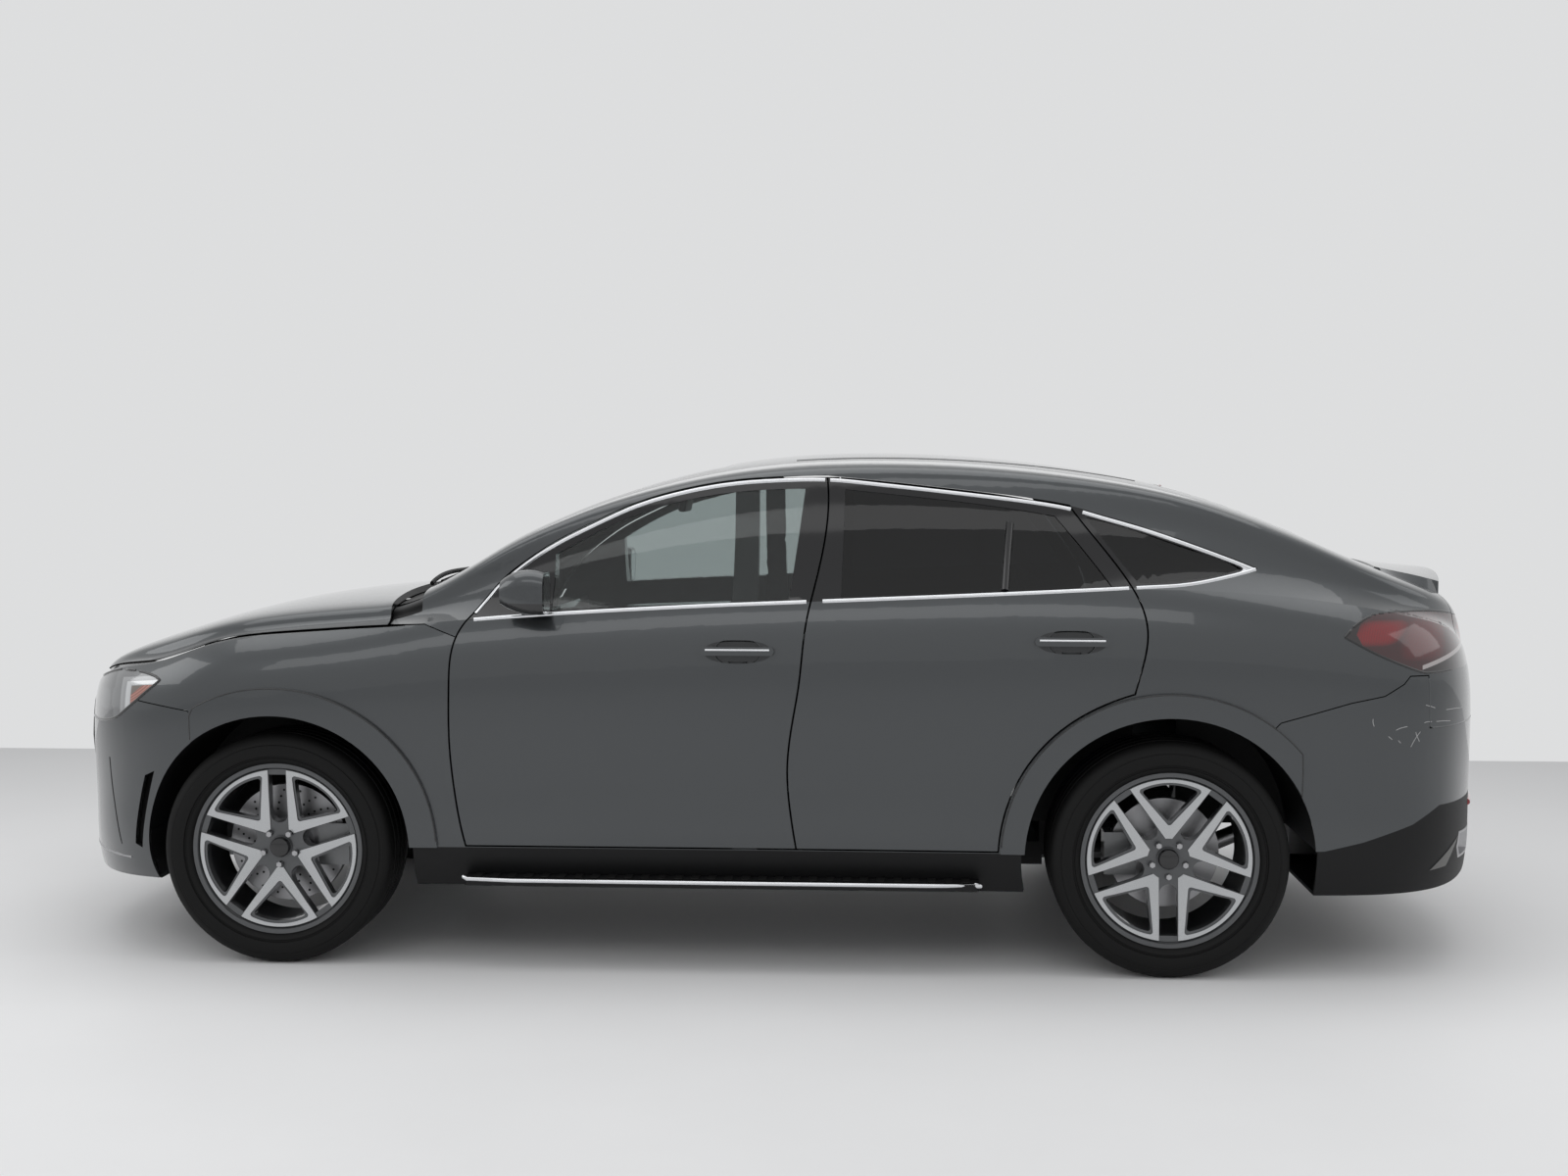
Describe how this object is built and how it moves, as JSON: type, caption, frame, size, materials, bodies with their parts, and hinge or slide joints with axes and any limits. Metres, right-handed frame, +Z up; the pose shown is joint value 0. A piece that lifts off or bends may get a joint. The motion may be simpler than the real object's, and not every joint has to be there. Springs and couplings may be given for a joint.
{
  "type": "sport utility vehicle",
  "caption": "Five-door sport utility vehicle with a sloping coupe roof, hinged doors, hood and tailgate, steered front wheels and turning road wheels.",
  "frame": {"origin": "on the ground, under the middle of the overall box", "axes": "+X towards the front of the car, +Y to its left, +Z up"},
  "size_m": [4.9578, 2.1604, 1.708],
  "materials": {
    "paint": "metallic gloss",
    "black_trim": "satin",
    "dash": "grained",
    "cast": "machined",
    "steel": "brushed",
    "glass": "clear",
    "under": "satin",
    "alloy": "machined face, dark painted sides",
    "leather": "grained",
    "tyre": "matt",
    "lamp_clear": "clear lens",
    "dark_glass": "tinted",
    "lamp_red": "gloss"
  },
  "bodies": {
    "body": {"arch_flares": "paint", "body_sides": "paint", "cowl": "black_trim", "dashboard": "dash", "engine": "cast", "exhaust": "steel", "fixed_glass": "glass", "floor_pan": "under", "front_bumper": "paint", "front_fenders": "paint", "front_seats": "leather", "front_subframe": "under", "grille": "black_trim", "headlamps": "lamp_clear", "rear_bumper": "paint", "rear_hub_carriers": "cast", "rear_seat": "leather", "rear_subframe": "under", "rear_valance": "black_trim", "roof_panel": "paint", "side_steps": "black_trim", "tail_lamps": "lamp_red", "wheel_liners": "black_trim"},
    "hood": {"hood": "paint"},
    "tailgate": {"tailgate": "paint", "tailgate_lamps": "lamp_red", "tailgate_glass": "dark_glass"},
    "steering_wheel": {"steering_wheel": "dash"},
    "front_door_left": {"front_door_left": "paint", "front_door_glass_left": "glass", "mirror_left": "paint"},
    "rear_door_left": {"rear_door_left": "paint", "rear_door_glass_left": "dark_glass"},
    "front_knuckle_left": {"front_knuckle_left": "cast"},
    "front_wheel_left": {"front_rim_left": "alloy", "front_tyre_left": "tyre", "front_disc_left": "cast"},
    "rear_wheel_left": {"rear_rim_left": "alloy", "rear_tyre_left": "tyre", "rear_disc_left": "cast"},
    "front_door_right": {"front_door_right": "paint", "front_door_glass_right": "glass", "mirror_right": "paint"},
    "rear_door_right": {"rear_door_right": "paint", "rear_door_glass_right": "dark_glass"},
    "front_knuckle_right": {"front_knuckle_right": "cast"},
    "front_wheel_right": {"front_rim_right": "alloy", "front_tyre_right": "tyre", "front_disc_right": "cast"},
    "rear_wheel_right": {"rear_rim_right": "alloy", "rear_tyre_right": "tyre", "rear_disc_right": "cast"}
  },
  "joints": [
    {"name": "front_door_left_hinge", "type": "hinge", "parent": "body", "child": "front_door_left", "pos_m": [1.096, 0.944, 0.78], "axis": [0, 0, -1], "range_deg": [0, 66]},
    {"name": "rear_door_left_hinge", "type": "hinge", "parent": "body", "child": "rear_door_left", "pos_m": [0, 0.938, 0.745], "axis": [0, 0, -1], "range_deg": [0, 66]},
    {"name": "steer_left", "type": "hinge", "parent": "body", "child": "front_knuckle_left", "pos_m": [1.6105, 0.742, 0.385], "axis": [0, 0, 1], "range_deg": [-33, 33]},
    {"name": "front_wheel_left_spin", "type": "hinge", "parent": "front_knuckle_left", "child": "front_wheel_left", "pos_m": [1.6105, 0.834, 0.385], "axis": [0, 1, 0], "continuous": true},
    {"name": "rear_wheel_left_spin", "type": "hinge", "parent": "body", "child": "rear_wheel_left", "pos_m": [-1.3245, 0.838, 0.385], "axis": [0, 1, 0], "continuous": true},
    {"name": "front_door_right_hinge", "type": "hinge", "parent": "body", "child": "front_door_right", "pos_m": [1.096, -0.944, 0.78], "axis": [0, 0, 1], "range_deg": [0, 66]},
    {"name": "rear_door_right_hinge", "type": "hinge", "parent": "body", "child": "rear_door_right", "pos_m": [0, -0.938, 0.745], "axis": [0, 0, 1], "range_deg": [0, 66]},
    {"name": "steer_right", "type": "hinge", "parent": "body", "child": "front_knuckle_right", "pos_m": [1.6105, -0.742, 0.385], "axis": [0, 0, 1], "range_deg": [-33, 33]},
    {"name": "front_wheel_right_spin", "type": "hinge", "parent": "front_knuckle_right", "child": "front_wheel_right", "pos_m": [1.6105, -0.834, 0.385], "axis": [0, 1, 0], "continuous": true},
    {"name": "rear_wheel_right_spin", "type": "hinge", "parent": "body", "child": "rear_wheel_right", "pos_m": [-1.3245, -0.838, 0.385], "axis": [0, 1, 0], "continuous": true},
    {"name": "hood_hinge", "type": "hinge", "parent": "body", "child": "hood", "pos_m": [1.225, 0, 1.15], "axis": [0, -1, 0], "range_deg": [0, 50]},
    {"name": "tailgate_hinge", "type": "hinge", "parent": "body", "child": "tailgate", "pos_m": [-1.215, 0, 1.575], "axis": [0, 1, 0], "range_deg": [0, 75]},
    {"name": "steering_wheel_turn", "type": "hinge", "parent": "body", "child": "steering_wheel", "pos_m": [0.56, 0.38, 0.975], "axis": [-0.9135, 0, 0.4067], "range_deg": [-450, 450]}
  ],
  "couplings": [
    {"joint": "steer_right", "follows": "steer_left", "ratio": 1},
    {"joint": "steering_wheel_turn", "follows": "steer_left", "ratio": 13.6}
  ]
}
